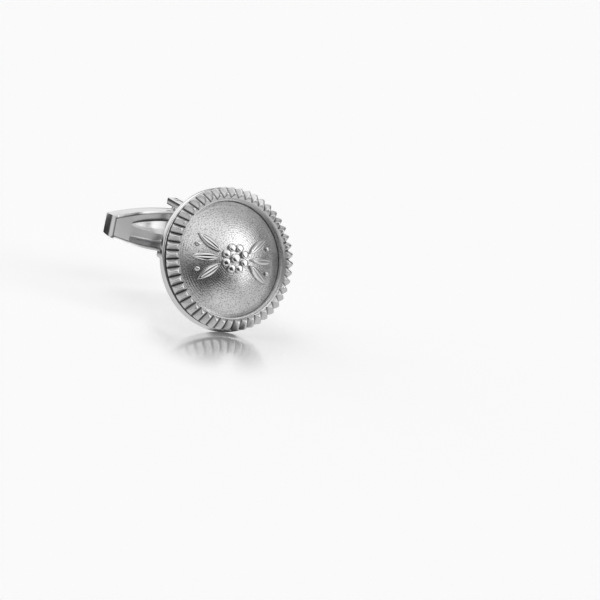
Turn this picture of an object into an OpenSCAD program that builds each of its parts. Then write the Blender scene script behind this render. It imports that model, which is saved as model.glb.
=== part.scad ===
// Round cufflink with a reeded border and a swivel back
//
// The head is a domed medallion in a reeded ring on a polished back plate.
// A flat U-shaped yoke stands on the back plate and carries a hollow toggle
// bar on a pin, so the bar swings from crosswise to in line with the yoke.
// Units are millimetres. X runs along the toggle bar, -Y is the front and +Z
// is up. The rim stands on Z = 0, the yoke is level and the face leans back.

/* [Head] */
// Outer diameter of the polished back plate
plate_d = 18.1; // [14:0.1:24]
// Thickness of the back plate
plate_t = 1.05; // [0.8:0.05:2]
// Rounding of the back plate's outer edge
plate_edge_r = 0.3; // [0.1:0.05:0.38]
// Step in from the plate's edge to the ribs' outer ends
rib_set = 0.05; // [0.02:0.01:0.2]
// Width of the half-round reeded ring, from the ribs' outer ends to the field
ring_w = 1.7; // [1.4:0.05:2.2]
// Distance from the field to the inner ends of the gaps
land_w = 0.3; // [0.2:0.05:0.5]
// Number of ribs round the border
rib_count = 48; // [36:1:60]
// Depth of the field's edge below the top of the ribs
field_drop = 1.38; // [1:0.01:1.5]
// Rise of the dome from its edge to its middle
dome_rise = 1.75; // [0.8:0.05:2.2]
// Lean of the face back from upright, seen with the yoke level
face_lean = 19; // [0:1:25]

/* [Ribs] */
// Angle between the two flanks of a gap
gap_angle = 68; // [50:1:90]
// Fall of the gap's floor towards its outer end, in degrees
gap_fall = 46; // [35:1:50]
// Height of the dark groove between the ring and the back plate
neck_h = 0.1; // [0.05:0.01:0.3]
// Depth of that groove in from the ribs' ends
neck_depth = 0.5; // [0.2:0.05:0.8]

/* [Relief] */
// Height of the raised ornament above the domed field
relief_h = 0.5; // [0.2:0.05:0.8]
// Radius of the rosette's middle boss
boss_r = 0.6; // [0.4:0.05:0.7]
// Number of petals round the boss
petal_count = 8; // [6:1:10]
// Radius of one petal
petal_r = 0.5; // [0.3:0.05:0.6]
// Distance of the petals from the middle
petal_ring_r = 1.42; // [1.3:0.02:1.7]
// Length of the level leaf on each side
leaf_len = 3.5; // [2:0.1:3.7]
// Width of a leaf at its middle
leaf_w = 1; // [0.6:0.05:1.3]
// Distance of the leaves' roots from the middle
leaf_root = 2.25; // [2.1:0.05:2.6]
// Angle of the upper and lower leaves
leaf_angle = 38; // [30:1:50]
// Radius of the pellets between the leaves
pellet_r = 0.28; // [0.15:0.01:0.35]

/* [Yoke] */
// Distance from the back plate to the pivot
pivot_reach = 14.45; // [12:0.05:18]
// Clear gap between the two arms
yoke_gap = 6.1; // [5.9:0.1:8]
// Width of one arm, seen from the side
arm_w = 0.9; // [0.7:0.05:1.4]
// Thickness of the yoke's flat plate
yoke_t = 1.3; // [1.2:0.05:2]
// Length of the arms past the pivot
arm_end = 1.3; // [0.9:0.05:1.7]
// Depth of the yoke's solid foot from the back plate
yoke_web = 2.6; // [2.2:0.1:3]
// Thickness of the solder pad under the yoke
pad_t = 0.4; // [0.2:0.05:0.6]
// Width of the solder pad
pad_w = 2.8; // [2:0.1:4]

/* [Toggle] */
// Length of the toggle bar
toggle_len = 18.1; // [14:0.1:18.6]
// Height of the bar at the pivot
toggle_h = 5.4; // [4.4:0.02:5.6]
// Height of the bar at its ends
toggle_end_h = 2.8; // [2:0.1:4]
// Depth of the bar from its open front to its back
toggle_depth = 3; // [2.6:0.1:3.4]
// Distance from the open front back to the pivot
pivot_set = 1.2; // [0.9:0.05:1.3]
// Wall of the bar
toggle_wall = 0.4; // [0.3:0.05:0.5]
// Length of each solid end
end_len = 2.7; // [1:0.05:3]
// Rounding of the ends towards the back
end_round = 1.1; // [0.9:0.05:1.4]
// Rounding of the long edges towards the back
edge_round = 0.8; // [0.5:0.05:0.9]

/* [Pin and spring] */
// Diameter of the pivot pin
pin_d = 0.9; // [0.7:0.02:0.96]
// Running clearance round the pin in the bar, on the radius
pin_clear = 0.05; // [0.03:0.01:0.08]
// Width across the pin's four flats
flats_w = 0.7; // [0.6:0.02:0.7]
// Distance of the spring's tips from the bar's solid ends
spring_end_gap = 1.15; // [0.5:0.05:2.5]
// Width of the leaf spring at its middle
spring_w = 1.8; // [1:0.1:2.4]
// Thickness of the leaf spring
spring_t = 0.22; // [0.15:0.01:0.3]

/* [Hidden] */
$fn = 96;
over = 0.5;
seat_gap = 0.02;
silver = [0.78, 0.78, 0.79];
satin = [0.70, 0.70, 0.71];

// Radius of an arc over a chord with a given rise
function arc_radius(chord, rise) = (pow(chord / 2, 2) + pow(rise, 2)) / (2 * rise);

// Levels of the head, measured out from the back of the back plate
plate_r = plate_d / 2;
rib_r = plate_r - rib_set;
field_r = rib_r - ring_w;
half_round_r = (ring_w - seat_gap) / 2;
half_round_at = rib_r - half_round_r;
half_round_z = plate_t + neck_h + half_round_r;
crest_z = half_round_z + half_round_r;
field_z = crest_z - field_drop;
gap_inner_r = field_r + land_w;
gap_inner_z = half_round_z + sqrt(pow(half_round_r, 2) - pow(half_round_at - gap_inner_r, 2));
dome_r = arc_radius(2 * field_r, dome_rise);
dome_z = field_z + dome_rise - dome_r;

// Places of the pellets, as shares of the leaves' angle and length
pellet_turn_share = 0.46;
pellet_reach_share = 0.86;

// Places of the back plate's centre, the pivot and the toggle bar
rest_drop = (plate_r - plate_edge_r) * cos(face_lean) - plate_edge_r * sin(face_lean) + plate_edge_r;
front_reach = half_round_at * sin(face_lean) + half_round_z * cos(face_lean) + half_round_r;
toggle_front = pivot_reach - pivot_set;
toggle_back = toggle_front + toggle_depth;
head_y = (front_reach - toggle_back) / 2;
arm_outer = yoke_gap / 2 + arm_w;
arm_tip = pivot_reach + arm_end;

// Shares of the arm's width that its tip is rounded by, and of the bar's height with flats on the pin
tip_share = 0.25;
flats_share = 0.7;

// Arcs of the bar's long sides
side_rise = (toggle_h - toggle_end_h) / 2;
side_r = arc_radius(toggle_len, side_rise);
pocket_half = toggle_len / 2 - end_len;
floor_s = toggle_back - toggle_wall;
spring_len = 2 * (pocket_half - spring_end_gap);

// Arcs of the leaf spring, bowed from the floor up to just behind the pin
spring_front = pivot_reach + pin_d / 2 + pin_clear;
spring_rise = floor_s - 2 * seat_gap - spring_t - spring_front;
bow_r = arc_radius(spring_len, spring_rise);

// Head frame: x along the bar, y up the face, z out of the face
module head_frame() {
    translate([0, head_y, rest_drop])
    rotate([90 - face_lean, 0, 0])
    children();
}

// Yoke frame: x along the bar, y back from the head, z up the pin
module yoke_frame() {
    translate([0, head_y, rest_drop])
    children();
}

// Pointed oval along x, from the origin, of a length and a width
module pointed_oval(len, width) {
    arc_r = arc_radius(len, width / 2);
    intersection() {
        translate([len / 2, arc_r - width / 2])
        circle(r = arc_r, $fn = 360);
        translate([len / 2, width / 2 - arc_r])
        circle(r = arc_r, $fn = 360);
    }
}

// Polished plate with a rounded outer edge
module back_plate() {
    color(silver)
    head_frame()
    rotate_extrude()
    union() {
        square([plate_r - plate_edge_r, plate_t]);
        translate([0, plate_edge_r])
        square([plate_r, plate_t - 2 * plate_edge_r]);
        translate([plate_r - plate_edge_r, plate_edge_r])
        circle(r = plate_edge_r);
        translate([plate_r - plate_edge_r, plate_t - plate_edge_r])
        circle(r = plate_edge_r);
    }
}

// Section of the ring before its gaps are cut: a half-round top on a plain web
module ring_section() {
    union() {
        translate([field_r + seat_gap, plate_t])
        square([ring_w - seat_gap - neck_depth, half_round_z - plate_t]);
        translate([half_round_at, half_round_z])
        circle(r = half_round_r);
    }
}

// Cutter for the gap between two ribs, with its floor falling outwards
module gap_cut() {
    half_w = ring_w * tan(gap_angle / 2);
    translate([gap_inner_r, 0, gap_inner_z])
    rotate([0, gap_fall, 0])
    rotate([90, 0, 90])
    linear_extrude(height = 2 * ring_w)
    polygon([[0, 0], [half_w, ring_w], [-half_w, ring_w]]);
}

// Half-round ring cut into pointed ribs
module reeded_border() {
    color(satin)
    head_frame()
    difference() {
        rotate_extrude()
        ring_section();
        for (i = [0 : rib_count - 1])
            rotate([0, 0, (i + 0.5) * 360 / rib_count])
            gap_cut();
    }
}

// Low dome that fills the ring
module domed_field() {
    color(satin)
    head_frame()
    intersection() {
        translate([0, 0, plate_t])
        cylinder(r = field_r, h = field_z + dome_rise - plate_t + over);
        translate([0, 0, dome_z])
        sphere(r = dome_r, $fn = 160);
    }
}

// Shell over the dome that raised work is cut from
module raised() {
    color(silver)
    head_frame()
    intersection() {
        translate([0, 0, field_z])
        linear_extrude(height = dome_rise + relief_h + over)
        children();
        translate([0, 0, dome_z])
        rotate([0, 0, 90])
        difference() {
            sphere(r = dome_r + relief_h, $fn = 160);
            sphere(r = dome_r + seat_gap, $fn = 160);
        }
    }
}

// Eight-petalled flower in the middle
module rosette() {
    raised() {
        circle(r = boss_r, $fn = 48);
        for (i = [0 : petal_count - 1])
            rotate((i + 0.5) * 360 / petal_count)
            translate([petal_ring_r, 0])
            circle(r = petal_r, $fn = 40);
    }
}

// Three pointed leaves on each side of the rosette
module leaves() {
    raised()
    for (side = [0, 1])
        mirror([side, 0])
        for (turn = [-1, 0, 1])
            rotate(turn * leaf_angle / 2)
            translate([leaf_root, 0])
            rotate(turn * leaf_angle / 2)
            pointed_oval(leaf_len, leaf_w);
}

// Small round pellets between the leaves
module pellets() {
    raised()
    for (side = [0, 1])
        mirror([side, 0])
        for (turn = [-1, 1])
            rotate(turn * leaf_angle * pellet_turn_share)
            translate([leaf_root + leaf_len * pellet_reach_share, 0])
            circle(r = pellet_r, $fn = 32);
}
// Oval pad that the yoke is soldered to
module yoke_pad() {
    pad_half = arm_outer / cos(face_lean);
    color(silver)
    head_frame()
    translate([0, 0, -pad_t])
    linear_extrude(height = pad_t - seat_gap)
    union() {
        square([pad_w, 2 * pad_half], center = true);
        for (side = [-1, 1])
            translate([0, side * pad_half])
            circle(r = pad_w / 2, $fn = 64);
    }
}

// Outline of the yoke from the side: x is back from the head, y is up
module yoke_outline() {
    inner_r = arm_w;
    tip_r = arm_w * tip_share;
    difference() {
        union() {
            translate([-arm_outer, -arm_outer])
            square([arm_outer + arm_tip - tip_r, 2 * arm_outer]);
            for (side = [-1, 1]) {
                translate([arm_tip - tip_r, side * (arm_outer - tip_r)])
                circle(r = tip_r, $fn = 32);
                translate([arm_tip - tip_r, side * (yoke_gap / 2 + tip_r)])
                circle(r = tip_r, $fn = 32);
                translate([yoke_web, side * (yoke_gap + arm_w) / 2 + tip_r - arm_w / 2])
                square([arm_tip - yoke_web, arm_w - 2 * tip_r]);
            }
        }
        translate([yoke_web, -yoke_gap / 2 + inner_r])
        square([arm_tip, yoke_gap - 2 * inner_r]);
        translate([yoke_web + inner_r, -yoke_gap / 2])
        square([arm_tip, yoke_gap]);
        for (side = [-1, 1])
            translate([yoke_web + inner_r, side * (yoke_gap / 2 - inner_r)])
            circle(r = inner_r, $fn = 48);
    }
}

// Flat U-shaped yoke, cut off square to the leaning pad
module yoke() {
    color(silver)
    difference() {
        yoke_frame()
        translate([-yoke_t / 2, 0, 0])
        rotate([90, 0, 90])
        linear_extrude(height = yoke_t)
        yoke_outline();
        head_frame()
        translate([-plate_r, -plate_r, -pad_t - seat_gap])
        cube([plate_d, plate_d, plate_d]);
        yoke_frame()
        translate([0, pivot_reach, -arm_outer - over])
        cylinder(r = pin_d / 2, h = 2 * (arm_outer + over), $fn = 64);
    }
}

// Riveted pin with four flats in the middle for the spring to rest on
module pivot_pin() {
    flats_len = toggle_h * flats_share;
    color(silver)
    yoke_frame()
    translate([0, pivot_reach, 0])
    difference() {
        translate([0, 0, -arm_outer])
        cylinder(r = pin_d / 2 - seat_gap / 2, h = 2 * arm_outer, $fn = 64);
        for (turn = [0 : 90 : 270])
            rotate([0, 0, turn])
            translate([flats_w / 2, -pin_d, -flats_len / 2])
            cube([pin_d, 2 * pin_d, flats_len]);
    }
}

// Outline from y = low to y = high with its far corner rounded, for a half width
module rounded_half(half, low, high, corner) {
    union() {
        translate([0, low])
        square([half, high - low - corner]);
        translate([0, low])
        square([half - corner, high - low]);
        translate([half - corner, high - corner])
        circle(r = corner, $fn = 64);
    }
}

// Round blank whose rim gives one long side of the bar
module side_blank(side, inset, low, high) {
    translate([0, 0, side * (toggle_h / 2 - side_r)])
    rotate([-90, 0, 0])
    rotate_extrude($fn = 360)
    rounded_half(side_r - inset, low, high, edge_round - inset);
}

// Boat-shaped solid of the bar, with its walls moved in by a given amount
module bar_solid(inset, low, high) {
    intersection() {
        side_blank(-1, inset, low, high);
        side_blank(1, inset, low, high);
        translate([0, 0, -toggle_h])
        linear_extrude(height = 2 * toggle_h)
        for (side = [0, 1])
            mirror([side, 0])
            rounded_half(toggle_len / 2 - inset, low, high, end_round - inset);
    }
}

// Hollow boat-shaped bar, open towards the head
module toggle_shell() {
    color(silver)
    yoke_frame()
    difference() {
        bar_solid(0, toggle_front, toggle_back);
        bar_solid(toggle_wall, toggle_front - over, floor_s);
        translate([0, pivot_reach, -toggle_h])
        cylinder(r = pin_d / 2 + pin_clear, h = 2 * toggle_h, $fn = 64);
    }
}

// Solid plugs that close the two ends of the bar
module toggle_ends() {
    color(silver)
    yoke_frame()
    difference() {
        bar_solid(toggle_wall + seat_gap, toggle_front, floor_s - seat_gap);
        translate([-pocket_half, toggle_front - over, -toggle_h])
        cube([2 * pocket_half, toggle_depth + 2 * over, 2 * toggle_h]);
    }
}

// Bowed leaf spring with pointed ends, lying in the bar
module leaf_spring() {
    color(silver)
    yoke_frame()
    intersection() {
        translate([0, toggle_back, 0])
        rotate([90, 0, 0])
        linear_extrude(height = toggle_depth)
        intersection() {
            translate([-spring_len / 2 - spring_t, 0])
            pointed_oval(spring_len + 2 * spring_t, spring_w);
            square([spring_len, spring_w], center = true);
        }
        translate([0, spring_front + bow_r, -spring_w])
        difference() {
            cylinder(r = bow_r, h = 2 * spring_w, $fn = 360);
            translate([0, 0, -over])
            cylinder(r = bow_r - spring_t, h = 2 * (spring_w + over), $fn = 360);
        }
    }
}

back_plate();
reeded_border();
domed_field();
rosette();
leaves();
pellets();
yoke_pad();
yoke();
pivot_pin();
toggle_shell();
toggle_ends();
leaf_spring();
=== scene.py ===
"""Round silver cufflink with a reeded border and a swivel back, in a plain white studio.

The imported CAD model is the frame. Each of its pieces is stood for by a smoother one made here with bmesh,
in the same place and on the same body. Lengths are in millimetres until put_in_place turns them to metres.
"""

import math

import bmesh
import bpy
from mathutils import Matrix, Vector


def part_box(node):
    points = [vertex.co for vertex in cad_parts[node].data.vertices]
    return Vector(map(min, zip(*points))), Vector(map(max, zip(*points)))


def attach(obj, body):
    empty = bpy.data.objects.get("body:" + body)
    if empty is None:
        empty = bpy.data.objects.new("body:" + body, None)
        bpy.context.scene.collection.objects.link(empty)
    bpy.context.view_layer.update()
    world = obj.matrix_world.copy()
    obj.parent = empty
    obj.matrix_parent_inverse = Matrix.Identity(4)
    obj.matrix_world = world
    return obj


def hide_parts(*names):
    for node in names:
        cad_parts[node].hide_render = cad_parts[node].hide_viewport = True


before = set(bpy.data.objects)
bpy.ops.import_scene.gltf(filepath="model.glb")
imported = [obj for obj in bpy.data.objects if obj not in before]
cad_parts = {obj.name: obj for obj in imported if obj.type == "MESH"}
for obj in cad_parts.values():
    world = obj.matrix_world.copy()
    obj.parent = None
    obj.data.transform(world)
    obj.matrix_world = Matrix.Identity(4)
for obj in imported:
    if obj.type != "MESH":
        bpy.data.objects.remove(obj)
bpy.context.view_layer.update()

MM = 0.001
TURN = 2 * math.pi

# Sizes of the head, in millimetres, as in the part's source
LEAN = math.radians(19)
SEAT = 0.02
PLATE_R, PLATE_T, PLATE_EDGE = 9.05, 1.05, 0.3
RIB_R, FIELD_R, NECK_H, NECK_DEPTH = 9.0, 7.3, 0.1, 0.5
HALF_ROUND_R = (RIB_R - FIELD_R - SEAT) / 2
HALF_ROUND_AT, HALF_ROUND_Z = RIB_R - HALF_ROUND_R, PLATE_T + NECK_H + HALF_ROUND_R
RIB_COUNT, GAP_HALF_ANGLE, GAP_FALL = 48, math.radians(34), math.radians(46)
GAP_SLOPE = 1 / math.tan(GAP_HALF_ANGLE)
LAND_W, FIELD_DROP, DOME_RISE = 0.3, 1.38, 1.75
GAP_INNER_R = FIELD_R + LAND_W
FIELD_Z = HALF_ROUND_Z + HALF_ROUND_R - FIELD_DROP
DOME_R = (FIELD_R ** 2 + DOME_RISE ** 2) / (2 * DOME_RISE)
DOME_Z = FIELD_Z + DOME_RISE - DOME_R

# Sizes of the raised ornament
RELIEF_H, RELIEF_SUNK = 0.5, 0.05
BOSS_R, PETAL_R, PETAL_RING_R, PETAL_COUNT = 0.6, 0.5, 1.42, 8
LEAF_L, LEAF_W, LEAF_ROOT, LEAF_TURN = 3.5, 1.0, 2.25, math.radians(38)
PELLET_R, PELLET_TURN_SHARE, PELLET_REACH_SHARE = 0.28, 0.46, 0.86

# Sizes of the yoke, the bar, the pin and the spring
PAD_T, PAD_W = 0.4, 2.8
YOKE_GAP, ARM_W, YOKE_T, YOKE_WEB = 6.1, 0.9, 1.3, 2.6
REACH, ARM_END, PIVOT_SET = 14.45, 1.3, 1.2
ARM_OUTER = YOKE_GAP / 2 + ARM_W
BAR_L, BAR_H, BAR_END_H, BAR_D, WALL = 18.1, 5.4, 2.8, 3.0, 0.4
BAR_FRONT = REACH - PIVOT_SET
BAR_BACK = BAR_FRONT + BAR_D
PLUG_L, END_ROUND, EDGE_ROUND, FRONT_ROUND, CROWN = 2.7, 1.1, 0.8, 0.5, 0.28
PIN_BORE_R, PIN_R, BAR_HOLE_R, FLATS_W, FLATS_SHARE = 0.45, 0.44, 0.5, 0.7, 0.7
RIVET_RISE = 0.05
SPRING_L, SPRING_W, SPRING_T, SPRING_CLEAR, SPRING_CREASE = 10.4, 1.8, 0.22, 0.05, 0.06

# Steps round a full turn, and how far the pieces' edges are softened
PLATE_STEPS, DOME_STEPS, PIN_STEPS = 256, 192, 64
PAD_EDGE, YOKE_EDGE, BAR_EDGE, BAR_CORNER, PLUG_EDGE = 0.12, 0.09, 0.07, 0.22, 0.05

# The yoke's root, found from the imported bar, and the two frames that the pieces are made in
bar_low, bar_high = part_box("toggle_shell")
ROOT = Vector((0, bar_high.y - BAR_BACK * MM, (bar_low.z + bar_high.z) / 2))
YOKE_FRAME = Matrix.Translation(ROOT) @ Matrix.Scale(MM, 4)
HEAD_FRAME = Matrix.Translation(ROOT) @ Matrix.Rotation(math.pi / 2 - LEAN, 4, "X") @ Matrix.Scale(MM, 4)


def linear(hex_colour):
    """Turns an sRGB hex colour into linear red, green, blue and alpha."""
    parts = [int(hex_colour[i:i + 2], 16) / 255 for i in (1, 3, 5)]
    return [p / 12.92 if p <= 0.04045 else ((p + 0.055) / 1.055) ** 2.4 for p in parts] + [1.0]


def add_node(tree, kind, sockets=None, **settings):
    """Adds a node to a tree. Its sockets are given by name or number, each with a link or a value."""
    made = tree.nodes.new(kind)
    for key, value in settings.items():
        setattr(made, key, value)
    for socket, source in (sockets or {}).items():
        if isinstance(source, bpy.types.NodeSocket):
            tree.links.new(source, made.inputs[socket])
        else:
            made.inputs[socket].default_value = source
    return made


# Silver's patterns: clouds of handling, scratches along the bar, and a dark colour in gaps and hollows,
# partly blackened silver and partly painted shade.
# Real polishing scratches and casting grain are 0.01 to 0.05 mm wide, too fine for the render. They are drawn
# as coarse as they need to show.
CLOUD_MM, SCRATCH_MM, SCRATCH_STRETCH = 1.6, 1.2, 9.0
# How dark the gap attribute's colour is and how much of it shows: partly blackened silver, partly painted
# shade
GAP_PALE, GAP_DARK, BLACKENING_AND_SHADE = 0.35, 0.95, 0.9
SPECKLE_LOW, SPECKLE_HIGH = 0.30, 0.52
BLACKENED_AND_SHADED, SPECKLED = "#3A3938", "#5E5D5C"
# A wave texture of scale 1 turns this many radians in a metre
WAVE_RADIANS = 20


def silver(name, colour, rough, rough_spread, grain_mm, grain_depth, lines_mm=0.0, line_depth=0.0,
           scratch_depth=0.0, speckle=0.0, dark_gaps=False):
    """Solid sterling silver. Grain, turned lines and scratches, and their depths, are in millimetres."""
    material = bpy.data.materials.new(name)
    material.use_nodes = True
    tree = material.node_tree
    shader = tree.nodes["Principled BSDF"]
    shader.inputs["Metallic"].default_value = 1.0
    place = add_node(tree, "ShaderNodeTexCoord").outputs["Object"]
    grain = add_node(tree, "ShaderNodeTexNoise",
                     {"Vector": place, "Scale": 1 / (grain_mm * MM), "Detail": 3.0, "Roughness": 0.6})
    cloud = add_node(tree, "ShaderNodeTexNoise",
                     {"Vector": place, "Scale": 1 / (CLOUD_MM * MM), "Detail": 4.0, "Roughness": 0.55})
    spread = add_node(tree, "ShaderNodeMapRange",
                      {"Value": cloud.outputs["Fac"], "From Min": 0.3, "From Max": 0.7,
                       "To Min": rough - rough_spread, "To Max": rough + rough_spread})
    tree.links.new(spread.outputs["Result"], shader.inputs["Roughness"])
    dark, share = None, None
    if speckle:
        # Darker hollows of the casting grain
        dark = SPECKLED
        share = add_node(tree, "ShaderNodeMapRange",
                         {"Value": grain.outputs["Fac"], "From Min": SPECKLE_LOW, "From Max": SPECKLE_HIGH,
                          "To Min": speckle, "To Max": 0.0})
    elif dark_gaps:
        # Dark colour where the mesh's own gap attribute says: blackened silver where a polishing wheel can't
        # reach and painted shade in the ribs' gaps, painted shade under the ring's neck, at its wall's foot
        # and at the ornament's feet, and a darker line along the bar's front inner edges
        dark = BLACKENED_AND_SHADED
        depth = add_node(tree, "ShaderNodeAttribute", attribute_name="gap").outputs["Fac"]
        share = add_node(tree, "ShaderNodeMapRange",
                         {"Value": depth, "From Min": GAP_PALE, "From Max": GAP_DARK,
                          "To Min": 0.0, "To Max": BLACKENING_AND_SHADE})
    if share:
        mix = add_node(tree, "ShaderNodeMix", data_type="RGBA")
        tree.links.new(share.outputs["Result"], mix.inputs["Factor"])
        mix.inputs[6].default_value = linear(colour)
        mix.inputs[7].default_value = linear(dark)
        tree.links.new(mix.outputs[2], shader.inputs["Base Color"])
    else:
        shader.inputs["Base Color"].default_value = linear(colour)
    bump = add_node(tree, "ShaderNodeBump",
                    {"Strength": 1.0, "Distance": grain_depth * MM, "Height": grain.outputs["Fac"]})
    if scratch_depth:
        stretch = add_node(tree, "ShaderNodeMapping", {"Vector": place})
        stretch.inputs["Scale"].default_value = (1.0, SCRATCH_STRETCH, SCRATCH_STRETCH)
        scratch = add_node(tree, "ShaderNodeTexNoise",
                           {"Vector": stretch.outputs["Vector"], "Scale": 1 / (SCRATCH_MM * MM),
                            "Detail": 5.0})
        bump = add_node(tree, "ShaderNodeBump",
                        {"Strength": 1.0, "Distance": scratch_depth * MM, "Height": scratch.outputs["Fac"],
                         "Normal": bump.outputs["Normal"]})
    if lines_mm:
        # Turned rings about the face's own axis, which leans back with the head
        level = add_node(tree, "ShaderNodeMapping", {"Vector": place}, vector_type="TEXTURE")
        level.inputs["Location"].default_value = ROOT
        level.inputs["Rotation"].default_value = (math.pi / 2 - LEAN, 0, 0)
        rings = add_node(tree, "ShaderNodeTexWave",
                         {"Vector": level.outputs["Vector"], "Scale": TURN / (WAVE_RADIANS * lines_mm * MM),
                          "Distortion": 0.6, "Detail": 1.0, "Detail Scale": 0.4},
                         wave_type="RINGS", rings_direction="Z", wave_profile="SIN")
        bump = add_node(tree, "ShaderNodeBump",
                        {"Strength": 1.0, "Distance": line_depth * MM, "Height": rings.outputs["Fac"],
                         "Normal": bump.outputs["Normal"]})
    tree.links.new(bump.outputs["Normal"], shader.inputs["Normal"])
    return material


# Sterling silver polished on a buffing wheel: clear reflections, with faint scratches lengthwise
polished = silver("polished_sterling_silver", "#F2F2F2", 0.12, 0.04, 0.25, 0.0012, scratch_depth=0.0008,
                  dark_gaps=True)
# The same on the ornament, with painted shade at its feet, so that it stands out from the field
relief_silver = silver("polished_sterling_silver_with_painted_shade_at_its_feet", "#F2F2F2", 0.12, 0.04, 0.25, 0.0012,
                       dark_gaps=True)
# Cut and brushed sterling silver of the ribs: broad soft highlights, a fine grain, and black gaps, partly
# blackened silver and partly painted shade, with painted shade under the neck and at the wall's foot
satin = silver("satin_sterling_silver", "#E6E6E6", 0.29, 0.06, 0.15, 0.018, dark_gaps=True)
# Cast sterling silver of the field: a sparkling grain with darker hollows, and fine turned rings
grained = silver("cast_grained_sterling_silver", "#E8E8E8", 0.22, 0.04, 0.17, 0.016,
                 lines_mm=0.28, line_depth=0.004, speckle=0.6)
# Sterling silver left as cast inside the bar: grey and matt, with a darker line along its front inner edges
inside_silver = silver("as_cast_matt_sterling_silver", "#D3D3D4", 0.34, 0.05, 0.12, 0.006, dark_gaps=True)
# Rolled and hardened spring silver: the palest piece, with a soft gloss
spring_silver = silver("bright_spring_silver", "#F8F8F8", 0.2, 0.05, 0.2, 0.002)


# Edges sharper than this, in degrees, are shaded sharp
SHARP_ANGLE = 32


def put_in_place(name, bm, place, material, body, slot, *nodes, second=None):
    """Bakes a finished bmesh into a piece that rides on its body and stands for CAD nodes."""
    bmesh.ops.transform(bm, matrix=place, verts=bm.verts)
    mesh = bpy.data.meshes.new(name)
    bm.to_mesh(mesh)
    bm.free()
    mesh.shade_smooth()
    mesh.set_sharp_from_angle(angle=math.radians(SHARP_ANGLE))
    mesh.materials.append(material)
    if second:
        mesh.materials.append(second)
    piece = bpy.data.objects.new(name, mesh)
    bpy.context.scene.collection.objects.link(piece)
    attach(piece, body)
    if nodes:
        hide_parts(*nodes)


def arc(centre, radius, start, end, steps):
    """Points on an arc, its angles in degrees, ends included."""
    angles = [math.radians(start + (end - start) * i / steps) for i in range(steps + 1)]
    return [(centre[0] + radius * math.cos(a), centre[1] + radius * math.sin(a)) for a in angles]


def spun(profile, steps):
    """Spins a profile of radius and height points, which starts and ends on the axis, about z."""
    bm = bmesh.new()
    verts = [bm.verts.new((r, 0, z)) for r, z in profile]
    edges = [bm.edges.new(pair) for pair in zip(verts, verts[1:])]
    bmesh.ops.spin(bm, geom=verts + edges, cent=(0, 0, 0), axis=(0, 0, 1), dvec=(0, 0, 0), angle=TURN,
                   steps=steps, use_merge=True, use_duplicate=False)
    bmesh.ops.remove_doubles(bm, verts=bm.verts, dist=1e-4)
    bmesh.ops.recalc_face_normals(bm, faces=bm.faces)
    return bm


def prism(bm, outline, low, high):
    """Extrudes a closed outline of x and y points from one z to another."""
    face = bm.faces.new([bm.verts.new((x, y, low)) for x, y in outline])
    grown = bmesh.ops.extrude_face_region(bm, geom=[face])["geom"]
    tops = [g for g in grown if isinstance(g, bmesh.types.BMVert)]
    bmesh.ops.translate(bm, verts=tops, vec=(0, 0, high - low))
    bmesh.ops.recalc_face_normals(bm, faces=bm.faces)


def soften(bm, radius, segments, angle=40, keep=None):
    """Bevels every edge sharper than an angle."""
    limit = math.radians(angle)
    sharp = [e for e in bm.edges if len(e.link_faces) == 2 and e.calc_face_angle() > limit
             and (keep is None or keep(e))]
    bmesh.ops.bevel(bm, geom=sharp, offset=radius, offset_type="OFFSET", segments=segments, profile=0.5,
                    affect="EDGES", clamp_overlap=True, material=-1, loop_slide=True)


# Polished plate: a flat round plate whose outer edge is rounded on both sides
plate_profile = [(0, 0), (PLATE_R / 2, 0)]
plate_profile += arc((PLATE_R - PLATE_EDGE, PLATE_EDGE), PLATE_EDGE, -90, 0, 8)
plate_profile += arc((PLATE_R - PLATE_EDGE, PLATE_T - PLATE_EDGE), PLATE_EDGE, 0, 90, 8)
plate_profile += [(PLATE_R / 2, PLATE_T), (0, PLATE_T)]
put_in_place("flange_plate", spun(plate_profile, PLATE_STEPS), HEAD_FRAME, polished, "head",
             "polished_silver", "back_plate")

# How the ring's ribs are finished: rounded crests, gap floors and shoulders, and small unevenness
RIB_CREST, GAP_FLOOR, SHOULDER, UNEVEN_SHARE, UNEVEN_SINK = 0.13, 0.03, 0.22, 0.03, 0.01
# Where the ring is dark: beside a gap's floor, partly blackened silver and partly painted shade; painted
# shade at the wall's foot, darkest at the top of the face; and painted shadow towards the neck under its
# outer side
GAP_BLACK_AND_SHADE_W, FOOT_LOW, FOOT_SHADE_MID, FOOT_HIGH = 0.24, 0.05, 0.05, 0.16
FOOT_SHADE_MEAN, FOOT_SHADE_SWING, NECK_SHADE_START, NECK_SHADE_FADE = 0.8, 0.2, 0.05, 0.4


def height_over_gap(aside, half_pitch):
    """Height of a gap's flank over its floor. The ridge between two gaps and the floor are rounded."""
    if aside > half_pitch - RIB_CREST:
        past = half_pitch - aside
        return GAP_SLOPE * (half_pitch - RIB_CREST + (RIB_CREST ** 2 - past ** 2) / (2 * RIB_CREST))
    if aside < GAP_FLOOR:
        return GAP_SLOPE * (aside ** 2 / GAP_FLOOR + GAP_FLOOR) / 2
    return GAP_SLOPE * aside


def softer_of(one, two, blend):
    """The smaller of two heights, with a smooth change from one to the other."""
    mix = max(blend - abs(one - two), 0.0) / blend
    return min(one, two) - mix * mix * blend / 4


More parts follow.
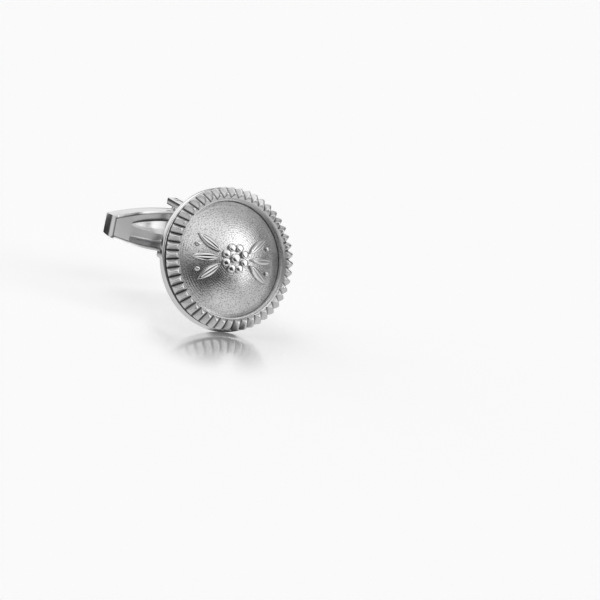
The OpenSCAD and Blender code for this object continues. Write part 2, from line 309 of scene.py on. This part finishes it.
def reeded_ring():
    """Half-round ring cut into pointed ribs, laid out as rows along its section and columns round it."""
    inner = FIELD_R + SEAT
    web = math.degrees(math.acos((RIB_R - NECK_DEPTH - HALF_ROUND_AT) / HALF_ROUND_R))
    foot = [(inner, FIELD_Z - FOOT_LOW), (inner, FIELD_Z + FOOT_SHADE_MID), (inner, FIELD_Z + FOOT_HIGH)]
    rows = [(inner, PLATE_T)] + foot
    rows += arc((HALF_ROUND_AT, HALF_ROUND_Z), HALF_ROUND_R, 180, -web, 46)
    rows += [(RIB_R - NECK_DEPTH, PLATE_T)]
    gap_start = (GAP_INNER_R,
                 HALF_ROUND_Z + math.sqrt(HALF_ROUND_R ** 2 - (HALF_ROUND_AT - GAP_INNER_R) ** 2))
    out_r, out_z = math.sin(GAP_FALL), math.cos(GAP_FALL)
    # Shares of a rib's width, from one crest over the gap to the next, close together where the surface turns
    shares = [0.0, 0.02, 0.06, 0.13, 0.21, 0.29, 0.36, 0.41, 0.46, 0.5]
    shares += [1 - share for share in reversed(shares[1:-1])]
    pitch = TURN / RIB_COUNT
    bm = bmesh.new()
    depth_of = bm.verts.layers.float.new("gap")
    grid = []
    for rib in range(RIB_COUNT):
        uneven = math.sin(rib * 2.3) + math.sin(rib * 5.1 + 1.0)
        for share in shares:
            turned = (rib + share + 0.5) * pitch
            column = []
            for k, (r, z) in enumerate(rows):
                over = (r - gap_start[0]) * out_r + (z - gap_start[1]) * out_z
                # How dark the ring is here: painted shade at the wall's foot and painted shadow towards the
                # neck; beside a gap's floor, blackened silver and painted shade
                black_and_shade = 0.0
                if k < len(foot):
                    black_and_shade = FOOT_SHADE_MEAN + FOOT_SHADE_SWING * math.sin(turned)
                elif r > HALF_ROUND_AT:
                    black_and_shade = (HALF_ROUND_Z - NECK_SHADE_START - z) / NECK_SHADE_FADE
                if len(foot) < k < len(rows) - 1 and over > 0:
                    aside = (share if share <= 0.5 else 1 - share) * pitch * r
                    flank = height_over_gap(aside, pitch * r / 2) * (1 + UNEVEN_SHARE * uneven)
                    lower = over - max(0.0, softer_of(over, flank + UNEVEN_SINK * uneven, SHOULDER))
                    r, z = r - lower * out_r, z - lower * out_z
                    black_and_shade = max(black_and_shade, 1 - aside / GAP_BLACK_AND_SHADE_W)
                column.append(bm.verts.new((r * math.cos(turned), r * math.sin(turned), z)))
                column[-1][depth_of] = min(1.0, max(0.0, black_and_shade))
            grid.append(column)
    for i, column in enumerate(grid):
        following = grid[(i + 1) % len(grid)]
        for k in range(len(rows)):
            j = (k + 1) % len(rows)
            bm.faces.new((column[k], following[k], following[j], column[j]))
    bmesh.ops.recalc_face_normals(bm, faces=bm.faces)
    return bm


put_in_place("ribbed_ring", reeded_ring(), HEAD_FRAME, satin, "head", "satin_silver", "reeded_border")


def dome_at(x, y):
    """Height of the domed field at a place on the face."""
    return DOME_Z + math.sqrt(DOME_R ** 2 - x * x - y * y)


# Low dome: a flat bottom, a short wall and a shallow arc up to the middle
dome_profile = [(0, PLATE_T), (FIELD_R, PLATE_T)]
dome_profile += [(FIELD_R * (1 - i / 40), dome_at(FIELD_R * (1 - i / 40), 0)) for i in range(41)]
put_in_place("domed_middle", spun(dome_profile, DOME_STEPS), HEAD_FRAME, grained, "head",
             "grained_silver", "domed_field")

# How the ornament is finished: crowned bosses and leaves, a vein along each leaf, and painted shade at its
# feet
BOSS_CROWN, LEAF_CROWN, VEIN_DEPTH, VEIN_W, VEIN_END = 0.12, 0.10, 0.05, 0.07, 0.3
RELIEF_SHADE_TOP, RELIEF_SHADE_FADE = 0.42, 0.12


def lift_onto_dome(bm):
    """Raises a flat relief by the height of the dome under each point, and marks its foot for painted shade.
    """
    foot = bm.verts.layers.float.new("gap")
    for v in bm.verts:
        # Painted shade on the relief's lowest part, fading upwards
        v[foot] = min(1.0, max(0.0, (RELIEF_SHADE_TOP - v.co.z) / RELIEF_SHADE_FADE))
        v.co.z += dome_at(v.co.x, v.co.y)


def pearl(bm, centre, radius):
    """Round raised boss with a slightly crowned, polished top."""
    made = bmesh.ops.create_circle(bm, cap_ends=True, segments=40, radius=radius,
                                   matrix=Matrix.Translation((centre[0], centre[1], -RELIEF_SUNK)))
    face = made["verts"][0].link_faces[0]
    grown = bmesh.ops.extrude_face_region(bm, geom=[face])["geom"]
    bmesh.ops.translate(bm, verts=[g for g in grown if isinstance(g, bmesh.types.BMVert)],
                        vec=(0, 0, RELIEF_H - BOSS_CROWN + RELIEF_SUNK))
    top = next(g for g in grown if isinstance(g, bmesh.types.BMFace))
    # Insets of the crown and how much each rises, which together are the crown's height
    for inset, rise in ((0.04, 0.06), (0.06, 0.03), (radius * 0.3, 0.02), (radius * 0.3, 0.01)):
        bmesh.ops.inset_region(bm, faces=[top], thickness=inset, depth=0, use_even_offset=True,
                               use_boundary=True)
        bmesh.ops.translate(bm, verts=top.verts[:], vec=(0, 0, rise))


def leaf(bm, length, width, place):
    """Pointed leaf with a soft ridge along its middle, made flat and then put in place."""
    arc_r = ((length / 2) ** 2 + (width / 2) ** 2) / width
    made = bmesh.ops.create_grid(bm, x_segments=24, y_segments=8, size=0.5)["verts"]
    for v in made:
        # The points stay a hair short of the tips, so that the grid's ends keep their corners
        along, across = v.co.x * 0.996, v.co.y * 2
        half = math.sqrt(arc_r ** 2 - (along * length) ** 2) - (arc_r - width / 2)
        v.co = Vector((length * (along + 0.5), half * across, 0))
        edge = 1 - abs(across)
        v.co.z = RELIEF_H - LEAF_CROWN + LEAF_CROWN * math.sqrt(max(0.0, 1 - (1 - edge) ** 2))
        v.co.z -= VEIN_DEPTH * math.exp(-((across * half) / VEIN_W) ** 2) * min(1.0, half / VEIN_END)
    rim = [e for e in {e for v in made for e in v.link_edges} if len(e.link_faces) == 1]
    walls = bmesh.ops.extrude_edge_only(bm, edges=rim)["geom"]
    low = [g for g in walls if isinstance(g, bmesh.types.BMVert)]
    for v in low:
        v.co.z = -RELIEF_SUNK
    bmesh.ops.contextual_create(
        bm, geom=[g for g in walls if isinstance(g, bmesh.types.BMEdge) and len(g.link_faces) == 1])
    bmesh.ops.transform(bm, matrix=place, verts=made + low)


flower = bmesh.new()
pearl(flower, (0, 0), BOSS_R)
for i in range(PETAL_COUNT):
    petal_angle = (i + 0.5) * TURN / PETAL_COUNT
    pearl(flower, (PETAL_RING_R * math.cos(petal_angle), PETAL_RING_R * math.sin(petal_angle)), PETAL_R)
lift_onto_dome(flower)
bmesh.ops.recalc_face_normals(flower, faces=flower.faces)
put_in_place("flower", flower, HEAD_FRAME, relief_silver, "head", "polished_silver", "rosette")

spray = bmesh.new()
for side in (0, math.pi):
    for turn in (-1, 0, 1):
        leaf(spray, LEAF_L, LEAF_W,
             Matrix.Rotation(side + turn * LEAF_TURN / 2, 4, "Z") @ Matrix.Translation((LEAF_ROOT, 0, 0))
             @ Matrix.Rotation(turn * LEAF_TURN / 2, 4, "Z"))
bmesh.ops.remove_doubles(spray, verts=spray.verts, dist=1e-3)
lift_onto_dome(spray)
bmesh.ops.recalc_face_normals(spray, faces=spray.faces)
put_in_place("leaf_spray", spray, HEAD_FRAME, relief_silver, "head", "polished_silver", "leaves")

dots = bmesh.new()
for side in (0, math.pi):
    for turn in (-1, 1):
        dot_angle = side + turn * LEAF_TURN * PELLET_TURN_SHARE
        reach = LEAF_ROOT + LEAF_L * PELLET_REACH_SHARE
        pearl(dots, (reach * math.cos(dot_angle), reach * math.sin(dot_angle)), PELLET_R)
lift_onto_dome(dots)
bmesh.ops.recalc_face_normals(dots, faces=dots.faces)
put_in_place("dots", dots, HEAD_FRAME, relief_silver, "head", "polished_silver", "pellets")

# Solder pad: an oval with a soft edge
pad_half = ARM_OUTER / math.cos(LEAN)
pad_outline = arc((0, pad_half), PAD_W / 2, 0, 180, 24) + arc((0, -pad_half), PAD_W / 2, 180, 360, 24)
pad = bmesh.new()
prism(pad, pad_outline, -PAD_T, -SEAT)
soften(pad, PAD_EDGE, 3, keep=lambda e: all(v.co.z < -PAD_T / 2 for v in e.verts))
put_in_place("solder_pad", pad, HEAD_FRAME, polished, "head", "polished_silver", "yoke_pad")


# How far the yoke starts in front of its root, so that all of its front can be cut off
YOKE_SPARE = 3


def yoke_outline():
    """The yoke from the side: x is back from the head and y is up. Its front is cut off to the pad later."""
    tip, inner, end = ARM_W / 4, ARM_W, REACH + ARM_END
    lower = [(-YOKE_SPARE, -ARM_OUTER)]
    lower += arc((end - tip, -ARM_OUTER + tip), tip, -90, 0, 6)
    lower += arc((end - tip, -YOKE_GAP / 2 - tip), tip, 0, 90, 6)
    lower += arc((YOKE_WEB + inner, -YOKE_GAP / 2 + inner), inner, 270, 180, 12)
    return lower + [(x, -y) for x, y in reversed(lower)]


yoke = bmesh.new()
prism(yoke, yoke_outline(), -YOKE_T / 2, YOKE_T / 2)
bmesh.ops.transform(yoke, matrix=Matrix(((0, 0, 1, 0), (1, 0, 0, 0), (0, 1, 0, 0), (0, 0, 0, 1))),
                    verts=yoke.verts)
soften(yoke, YOKE_EDGE, 3)
foot = Vector((0, PAD_T * math.cos(LEAN), -PAD_T * math.sin(LEAN)))
cut = bmesh.ops.bisect_plane(yoke, geom=yoke.verts[:] + yoke.edges[:] + yoke.faces[:], dist=1e-5,
                             plane_co=foot, plane_no=(0, -math.cos(LEAN), math.sin(LEAN)), clear_outer=True)
bmesh.ops.contextual_create(yoke, geom=[g for g in cut["geom_cut"] if isinstance(g, bmesh.types.BMEdge)])
bmesh.ops.recalc_face_normals(yoke, faces=yoke.faces)
put_in_place("u_yoke", yoke, YOKE_FRAME, polished, "head", "polished_silver", "yoke")

# Riveted pin: a round pin with four flats where the spring rests, its ends domed a hair over the yoke's arms
FLATS_HALF, FLATS_END = (BAR_H / 2 - WALL) * FLATS_SHARE, 0.03
pin_half = [(PIN_R, FLATS_HALF), (PIN_R, FLATS_HALF + FLATS_END), (PIN_R, ARM_OUTER)]
pin_half += [(PIN_R * math.cos(a), ARM_OUTER + RIVET_RISE * math.sin(a)) for a in (0.4, 0.8, 1.2)]
pin_half += [(0, ARM_OUTER + RIVET_RISE)]
pin = spun([(r, -z) for r, z in reversed(pin_half)] + pin_half, PIN_STEPS)
for v in pin.verts:
    if abs(v.co.z) < FLATS_HALF + FLATS_END / 2:
        v.co.x = max(-FLATS_W / 2, min(FLATS_W / 2, v.co.x))
        v.co.y = max(-FLATS_W / 2, min(FLATS_W / 2, v.co.y))
bmesh.ops.translate(pin, verts=pin.verts, vec=(0, REACH, 0))
put_in_place("rivet_pin", pin, YOKE_FRAME, polished, "head", "polished_silver", "pivot_pin")

SIDE_RISE = (BAR_H - BAR_END_H) / 2
SIDE_R = ((BAR_L / 2) ** 2 + SIDE_RISE ** 2) / (2 * SIDE_RISE)
# The square of mesh round the pin's hole: half its width along the bar, and its sides behind the bar's front
HOLE_X, HOLE_FROM, HOLE_TO = 0.75, 0.45, 1.95
HOLE_SHARES = [(HOLE_FROM + (HOLE_TO - HOLE_FROM) * i / 4) / (BAR_D - EDGE_ROUND) for i in range(5)]
HOLE_SHARES = [0.0] + HOLE_SHARES + [1.0]
HOLE_POINTS = 48


def bar_half_height(x, inset=0.0):
    """Half the bar's height at a place along it, with its walls moved in by an inset."""
    return math.sqrt((SIDE_R - inset) ** 2 - x * x) - (SIDE_R - BAR_H / 2)


def bar_front_at(x):
    """Front of the bar at a place along it: flat, and rounded away at both ends."""
    past = max(0.0, abs(x) - (BAR_L / 2 - FRONT_ROUND))
    return BAR_FRONT + FRONT_ROUND - math.sqrt(FRONT_ROUND ** 2 - past ** 2)


def crowned(half_height, y):
    """The bar's long sides fall away a little towards its back."""
    return half_height - CROWN * ((y - BAR_FRONT) / BAR_D) ** 2


def bar_grid(bm, inset, places):
    """Rows of points round the bar's section at each place along it, open towards the head."""
    half, back = BAR_L / 2 - inset, BAR_BACK - inset
    end_r, edge_r = END_ROUND - inset, EDGE_ROUND - inset
    rows = []
    for x in places:
        h = bar_half_height(x, inset)
        past = max(0.0, abs(x) - (half - end_r))
        depth = back - end_r + math.sqrt(max(0.0, end_r ** 2 - past ** 2))
        side = min(depth, back - edge_r)
        low = bar_front_at(x)
        section = [(h, low + (side - low) * share) for share in HOLE_SHARES]
        bend = [(h - edge_r + edge_r * math.cos(a), back - edge_r + edge_r * math.sin(a))
                for a in [math.radians(90 * i / 8) for i in range(1, 9)]]
        section += [(z, min(depth, y)) for z, y in bend]
        flat = h - edge_r
        section += [(flat * share, depth) for share in (0.66, 0.33)]
        section = [(crowned(z, y) if z > flat else z, y) for z, y in section]
        section = [(-z, y) for z, y in section] + [(0.0, depth)] + list(reversed(section))
        rows.append([bm.verts.new((x, y, z)) for z, y in section])
    return rows


def skin(bm, rows, material_index=0):
    """Faces between neighbouring rows of points, with both ends closed."""
    for one, two in zip(rows, rows[1:]):
        for k in range(len(one) - 1):
            bm.faces.new((one[k], two[k], two[k + 1], one[k + 1])).material_index = material_index
    for row in (rows[0], rows[-1]):
        bm.faces.new(row).material_index = material_index


def bar_places(inset):
    """Places along the bar, close together in the rounded ends and beside the pin's hole."""
    half, end_r = BAR_L / 2 - inset, END_ROUND - inset
    ends = [half - end_r * (1 - math.sin(math.radians(90 * i / 8))) for i in range(8, 0, -1)]
    straight = [HOLE_X + (half - end_r - HOLE_X) * i / 14 for i in range(14, -1, -1)]
    right = ends + straight + [HOLE_X * 2 / 3, HOLE_X / 3]
    return [-x for x in right] + [0.0] + list(reversed(right))


def pin_hole(bm, loops, side):
    """Round hole through one long wall, joined to the edges that both of its skins were opened along."""
    rings = []
    for inset, edges in loops:
        ring = [bm.verts.new((x, REACH + y, side * crowned(bar_half_height(x, inset), REACH + y)))
                for x, y in arc((0, 0), BAR_HOLE_R, 0, 360 - 360 / HOLE_POINTS, HOLE_POINTS - 1)]
        rim = [bm.edges.new(pair) for pair in zip(ring, ring[1:] + ring[:1])]
        made = bmesh.ops.bridge_loops(bm, edges=edges + rim)["faces"]
        for face in made:
            face.material_index = 1 if inset else 0
        rings.append(rim)
    bmesh.ops.bridge_loops(bm, edges=rings[0] + rings[1])


shell = bmesh.new()
outer = bar_grid(shell, 0, bar_places(0))
inner = bar_grid(shell, WALL, bar_places(WALL))
skin(shell, outer)
skin(shell, inner, 1)
for end in (0, -1):
    for one, two, three, four in zip(outer, outer[1:], inner[1:], inner):
        shell.faces.new((one[end], two[end], three[end], four[end]))
for row, inside in ((outer[0], inner[0]), (outer[-1], inner[-1])):
    shell.faces.new((row[0], row[-1], inside[-1], inside[0]))
bmesh.ops.recalc_face_normals(shell, faces=shell.faces)
for side in (-1, 1):
    loops = []
    for inset in (0, WALL):
        patch = [f for f in shell.faces if abs(f.normal.z) > 0.9 and len(f.verts) == 4
                 and side * f.calc_center_median().z > BAR_H / 4
                 and abs(f.calc_center_median().x) < HOLE_X
                 and HOLE_FROM < f.calc_center_median().y - BAR_FRONT < HOLE_TO
                 and f.material_index == (1 if inset else 0)]
        inside_edges = {e for f in patch for e in f.edges}
        rim_edges = [e for e in inside_edges if sum(f in patch for f in e.link_faces) == 1]
        bmesh.ops.delete(shell, geom=patch, context="FACES")
        loops.append((inset, [e for e in rim_edges if e.is_valid]))
    pin_hole(shell, loops, side)
bmesh.ops.recalc_face_normals(shell, faces=shell.faces)
end_edges = [e for e in shell.edges if all(abs(abs(v.co.x) - BAR_L / 2) < 1e-4
                                           and abs(v.co.y - BAR_FRONT - FRONT_ROUND) < 1e-4 for v in e.verts)]
bmesh.ops.bevel(shell, geom=end_edges, offset=BAR_CORNER, offset_type="OFFSET", segments=6, profile=0.5,
                affect="EDGES", clamp_overlap=True, material=-1, loop_slide=True)
soften(shell, BAR_EDGE, 3, angle=50)
# Darker line along the front inner edges
FRONT_LINE_W = 0.09
front_edge_line = shell.verts.layers.float.new("gap")
for v in shell.verts:
    from_inner = abs(abs(v.co.z) - bar_half_height(v.co.x, WALL)) if abs(v.co.x) < BAR_L / 2 - WALL else WALL
    if from_inner < FRONT_LINE_W and v.co.y - bar_front_at(v.co.x) < FRONT_LINE_W:
        v[front_edge_line] = 1.0
put_in_place("bar_shell", shell, YOKE_FRAME, polished, "toggle", "polished_silver", "toggle_shell",
             second=inside_silver)

# Two plugs, one in each end of the bar
plugs = bmesh.new()
fit = WALL + SEAT
for side in (-1, 1):
    inner_x, outer_x = BAR_L / 2 - PLUG_L, BAR_L / 2 - fit
    turn_x = outer_x - (END_ROUND - fit)
    stations = [inner_x + (turn_x - inner_x) * i / 5 for i in range(5)]
    stations += [turn_x + (outer_x - turn_x) * math.sin(math.radians(90 * i / 8)) for i in range(9)]
    rows = bar_grid(plugs, fit, [side * x for x in stations])
    skin(plugs, rows)
    for one, two in zip(rows, rows[1:]):
        plugs.faces.new((one[0], two[0], two[-1], one[-1]))
bmesh.ops.recalc_face_normals(plugs, faces=plugs.faces)
soften(plugs, PLUG_EDGE, 2, angle=50)
put_in_place("bar_plugs", plugs, YOKE_FRAME, inside_silver, "toggle", "polished_silver", "toggle_ends")

# Bowed leaf spring with pointed ends and a soft crease along its middle
spring = bmesh.new()
spring_front = REACH + PIN_BORE_R + SPRING_CLEAR
spring_rise = (BAR_BACK - WALL) - 2 * SEAT - SPRING_T - spring_front
bow_r = ((SPRING_L / 2) ** 2 + spring_rise ** 2) / (2 * spring_rise)
oval_l = SPRING_L + 2 * SPRING_T
oval_r = ((oval_l / 2) ** 2 + (SPRING_W / 2) ** 2) / SPRING_W
for v in bmesh.ops.create_grid(spring, x_segments=48, y_segments=6, size=0.5)["verts"]:
    x = v.co.x * SPRING_L
    half = math.sqrt(oval_r ** 2 - x * x) - (oval_r - SPRING_W / 2)
    crease = SPRING_CREASE * abs(v.co.y * 2) * half / (SPRING_W / 2)
    v.co = Vector((x, spring_front + bow_r - math.sqrt(bow_r ** 2 - x * x) + crease, v.co.y * 2 * half))
bmesh.ops.recalc_face_normals(spring, faces=spring.faces)
if sum(f.normal.y for f in spring.faces) > 0:
    bmesh.ops.reverse_faces(spring, faces=spring.faces)
bmesh.ops.solidify(spring, geom=spring.faces[:], thickness=SPRING_T)
bmesh.ops.recalc_face_normals(spring, faces=spring.faces)
put_in_place("bow_spring", spring, YOKE_FRAME, spring_silver, "toggle", "spring_metal", "leaf_spring")

# Camera: its right, up and back directions, and where the plate's middle falls in the 600 pixel picture
RIGHT, UP = Vector((0.8598, -0.4695, 0.1945)), Vector((-0.0660, 0.2758, 0.9576))
RIGHT.normalize()
UP = (UP - UP.dot(RIGHT) * RIGHT).normalized()
BACK = RIGHT.cross(UP)
PIXELS, PX_PER_MM, DISTANCE, SENSOR = 600, 8.0, 550.0, 36.0
ROOT_PX = (222.3, 260.0)
camera_data = bpy.data.cameras.new("camera")
camera_data.lens = SENSOR * DISTANCE / (PIXELS / PX_PER_MM)
camera_data.sensor_width = SENSOR
camera_data.clip_start, camera_data.clip_end = 0.05, 20.0
camera = bpy.data.objects.new("camera", camera_data)
bpy.context.scene.collection.objects.link(camera)
across = (PIXELS / 2 - ROOT_PX[0]) / PX_PER_MM
rise = (ROOT_PX[1] - PIXELS / 2) / PX_PER_MM
stand = ROOT + MM * (across * RIGHT + rise * UP + DISTANCE * BACK)
camera.matrix_world = Matrix.Translation(stand) @ Matrix((RIGHT, UP, BACK)).transposed().to_4x4()
bpy.context.scene.camera = camera


def tone_of(tree, way, base, patches):
    """Tone seen along a direction: a base tone with smooth patches laid over it in turn."""
    tone = None
    for _name, towards, start, full, level in patches:
        direction = (towards[0] * RIGHT + towards[1] * UP + towards[2] * BACK).normalized()
        facing = add_node(tree, "ShaderNodeVectorMath", {0: way}, operation="DOT_PRODUCT")
        facing.inputs[1].default_value = direction
        mask = add_node(tree, "ShaderNodeMapRange", {"Value": facing.outputs["Value"], "From Min": start,
                                                     "From Max": full, "To Min": 0.0, "To Max": 1.0},
                        interpolation_type="SMOOTHSTEP")
        mix = add_node(tree, "ShaderNodeMix", data_type="FLOAT")
        tree.links.new(mask.outputs["Result"], mix.inputs[0])
        if tone is None:
            mix.inputs[2].default_value = base
        else:
            tree.links.new(tone, mix.inputs[2])
        mix.inputs[3].default_value = level
        tone = mix.outputs[0]
    return tone


# Each patch: name, direction in camera terms, cosines where it starts and is full, tone. The names tell the
# patches apart for the reader. The camera itself sees the sky at one tone, just under white.
SKY_BASE, SKY_SEEN = 0.21, 0.956
SKY = [
    ("overhead light", (-0.30, 0.94, 0.10), 0.75, 0.93, 1.25),
    ("left wall", (-0.85, 0.52, 0.05), 0.72, 0.95, 0.7),
    ("back above", (0.0, 0.62, -0.785), 0.90, 0.97, 0.38),
    ("back left", (-0.45, 0.50, -0.74), 0.88, 0.96, 0.9),
    ("back wall", (0.0, 0.43, -0.903), 0.975, 0.991, 0.82),
    ("right above", (0.78, 0.56, 0.27), 0.89, 0.96, 0.5),
    ("right softbox", (0.86, 0.11, 0.50), 0.87, 0.955, 1.7),
    ("right back", (0.99, -0.07, -0.05), 0.93, 0.99, 0.3),
    ("upper front", (0.50, 0.44, 0.74), 0.86, 0.97, 0.95),
    ("low front dark", (0.58, -0.27, 0.76), 0.82, 0.95, 0.03),
]
# The sheet's glow to every ray but the camera's: painted light and shade laid round the plate's middle, seen
# in the metal and lighting the object, with a painted shadow at the rim's foot
SHEET_BASE = 0.60
SHEET = [
    ("dark in front", (0.64, -0.28, 0.72), 0.88, 0.95, 0.05),
    ("bright in front", (0.63, -0.56, 0.54), 0.935, 0.98, 0.78),
    ("bright under the bar", (-0.13, -0.73, -0.67), 0.80, 0.93, 1.4),
    ("shade at the rim's foot", (0.03, -0.995, 0.08), 0.955, 0.99, 0.06),
]
# Painted dark and pale bands across the sheet's glow behind the object: where each tone starts and is full,
# in millimetres, and the tone
GLOW_BANDS = [("dark", 27.0, 35.0, 0.04), ("pale", 52.0, 56.0, 0.45), ("far dark", 76.0, 84.0, 0.05)]
# Oval near the rim's foot where the sheet mirrors: half its length towards the camera, half its width, where
# its fading starts as a share of these, and the mirror's share. Then the sheet's own glow, which brings its
# diffuse white up to the backdrop's without more light on the object.
MIRROR_LONG, MIRROR_WIDE, MIRROR_CORE, MIRROR_SHARE, SHEET_GLOW = 27.0, 13.0, 0.2, 0.74, 0.32


def studio_world():
    """White studio: soft lights and dark cards as smooth patches of the sky, and white to the camera."""
    world = bpy.data.worlds.new("studio")
    bpy.context.scene.world = world
    world.use_nodes = True
    tree = world.node_tree
    way = add_node(tree, "ShaderNodeTexCoord").outputs["Generated"]
    tone = tone_of(tree, way, SKY_BASE, SKY)
    seen = add_node(tree, "ShaderNodeLightPath").outputs["Is Camera Ray"]
    shown = add_node(tree, "ShaderNodeMix", data_type="FLOAT")
    tree.links.new(seen, shown.inputs[0])
    tree.links.new(tone, shown.inputs[2])
    shown.inputs[3].default_value = SKY_SEEN
    background = tree.nodes["Background"]
    background.inputs["Color"].default_value = (1, 1, 1, 1)
    tree.links.new(shown.outputs[0], background.inputs["Strength"])


studio_world()


def sheet_material():
    """White acrylic sheet: white to the camera and a mirror close to the rim's foot; to every other ray, a
    glow of painted light and shade, grey in the metal.
    """
    material = bpy.data.materials.new("white_acrylic_sheet_with_painted_glow")
    material.use_nodes = True
    tree = material.node_tree
    shader = tree.nodes["Principled BSDF"]
    seen = add_node(tree, "ShaderNodeLightPath").outputs["Is Camera Ray"]
    place = add_node(tree, "ShaderNodeTexCoord").outputs["Object"]
    from_root = add_node(tree, "ShaderNodeVectorMath", {0: place}, operation="SUBTRACT")
    from_root.inputs[1].default_value = ROOT
    way = add_node(tree, "ShaderNodeVectorMath", {0: from_root.outputs["Vector"]}, operation="NORMALIZE")
    tone = tone_of(tree, way.outputs["Vector"], SHEET_BASE, SHEET)
    depth = add_node(tree, "ShaderNodeSeparateXYZ", {"Vector": place}).outputs["Y"]
    for _name, first, last, level in GLOW_BANDS:
        past = add_node(tree, "ShaderNodeMapRange",
                        {"Value": depth, "From Min": first * MM, "From Max": last * MM,
                         "To Min": 0.0, "To Max": 1.0})
        mix = add_node(tree, "ShaderNodeMix", data_type="FLOAT")
        tree.links.new(past.outputs["Result"], mix.inputs[0])
        tree.links.new(tone, mix.inputs[2])
        mix.inputs[3].default_value = level
        tone = mix.outputs[0]
    from_foot = add_node(tree, "ShaderNodeMapping", {"Vector": place}, vector_type="TEXTURE")
    from_foot.inputs["Location"].default_value = (ROOT.x, ROOT.y - PLATE_R * math.sin(LEAN) * MM, 0)
    from_foot.inputs["Rotation"].default_value = (0, 0, math.atan2(BACK.y, BACK.x))
    from_foot.inputs["Scale"].default_value = (MIRROR_LONG * MM, MIRROR_WIDE * MM, 1)
    reach = add_node(tree, "ShaderNodeVectorMath", {0: from_foot.outputs["Vector"]}, operation="LENGTH")
    near = add_node(tree, "ShaderNodeMapRange",
                    {"Value": reach.outputs["Value"], "From Min": MIRROR_CORE, "From Max": 1.0,
                     "To Min": MIRROR_SHARE, "To Max": 0.0}, interpolation_type="SMOOTHERSTEP")
    mirror = add_node(tree, "ShaderNodeMath", {0: seen, 1: near.outputs["Result"]}, operation="MULTIPLY")
    tree.links.new(mirror.outputs["Value"], shader.inputs["Metallic"])
    rest = add_node(tree, "ShaderNodeMath", {0: 1.0, 1: near.outputs["Result"]}, operation="SUBTRACT")
    fill = add_node(tree, "ShaderNodeMath", {0: rest.outputs["Value"], 1: SHEET_GLOW}, operation="MULTIPLY")
    # The sheet's glow: an even fill to the camera, and painted light and shade to every other ray
    glow = add_node(tree, "ShaderNodeMix", data_type="FLOAT")
    tree.links.new(seen, glow.inputs[0])
    tree.links.new(tone, glow.inputs[2])
    tree.links.new(fill.outputs["Value"], glow.inputs[3])
    tree.links.new(glow.outputs[0], shader.inputs["Emission Strength"])
    shader.inputs["Emission Color"].default_value = (1, 1, 1, 1)
    body = add_node(tree, "ShaderNodeMix", data_type="RGBA")
    tree.links.new(seen, body.inputs[0])
    body.inputs[6].default_value = (0, 0, 0, 1)
    body.inputs[7].default_value = linear("#FEFEFE")
    tree.links.new(body.outputs[2], shader.inputs["Base Color"])
    shader.inputs["Specular IOR Level"].default_value = 0.0
    shader.inputs["Roughness"].default_value = 0.12
    return material


FLOOR_HALF = 3000
floor_mesh = bpy.data.meshes.new("floor")
floor_bm = bmesh.new()
bmesh.ops.create_grid(floor_bm, x_segments=1, y_segments=1, size=FLOOR_HALF * MM)
floor_bm.to_mesh(floor_mesh)
floor_bm.free()
floor_mesh.materials.append(sheet_material())
floor = bpy.data.objects.new("floor", floor_mesh)
bpy.context.scene.collection.objects.link(floor)

bpy.context.scene.view_settings.view_transform = "Standard"
